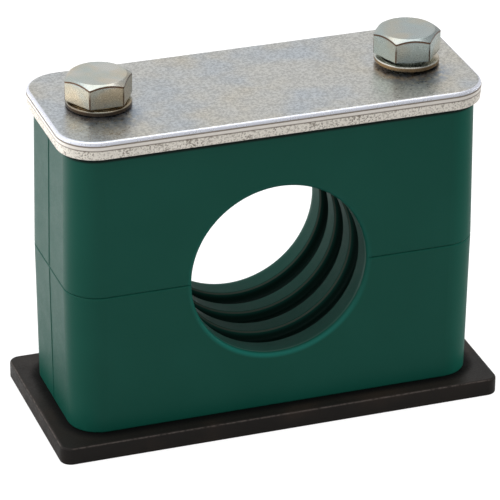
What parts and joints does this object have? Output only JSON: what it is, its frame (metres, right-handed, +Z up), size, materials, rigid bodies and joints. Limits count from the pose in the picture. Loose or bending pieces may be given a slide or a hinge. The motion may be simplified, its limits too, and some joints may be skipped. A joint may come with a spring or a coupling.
{
  "type": "hydraulic tube clamp",
  "caption": "Bolted tube clamp with ribbed green plastic halves between a steel cover plate and a black weld plate, for fixing a hydraulic line.",
  "frame": {"origin": "centre of the weld plate's underside", "axes": "+Z up through the stack, +X along the clamp's length through both bolts, +Y along the tube"},
  "size_m": [0.1012, 0.044, 0.0819],
  "materials": {
    "green_plastic": "fine moulded matte, dark green polypropylene",
    "zinc_plate": "bright zinc plating over rolled sheet, slightly mottled",
    "zinc_fastener": "bright zinc plating with faint yellow and blue passivation",
    "plain_steel": "turned steel, lightly oiled",
    "black_steel": "black phosphate, satin, worn at the edges"
  },
  "bodies": {
    "root": {"weld_plate": "black_steel", "lower_clamp_half": "green_plastic", "upper_clamp_half": "green_plastic", "cover_plate": "zinc_plate", "left_threaded_bush": "plain_steel", "right_threaded_bush": "plain_steel", "left_spring_washer": "zinc_fastener", "right_spring_washer": "zinc_fastener", "left_bolt": "zinc_fastener", "right_bolt": "zinc_fastener"}
  },
  "joints": []
}
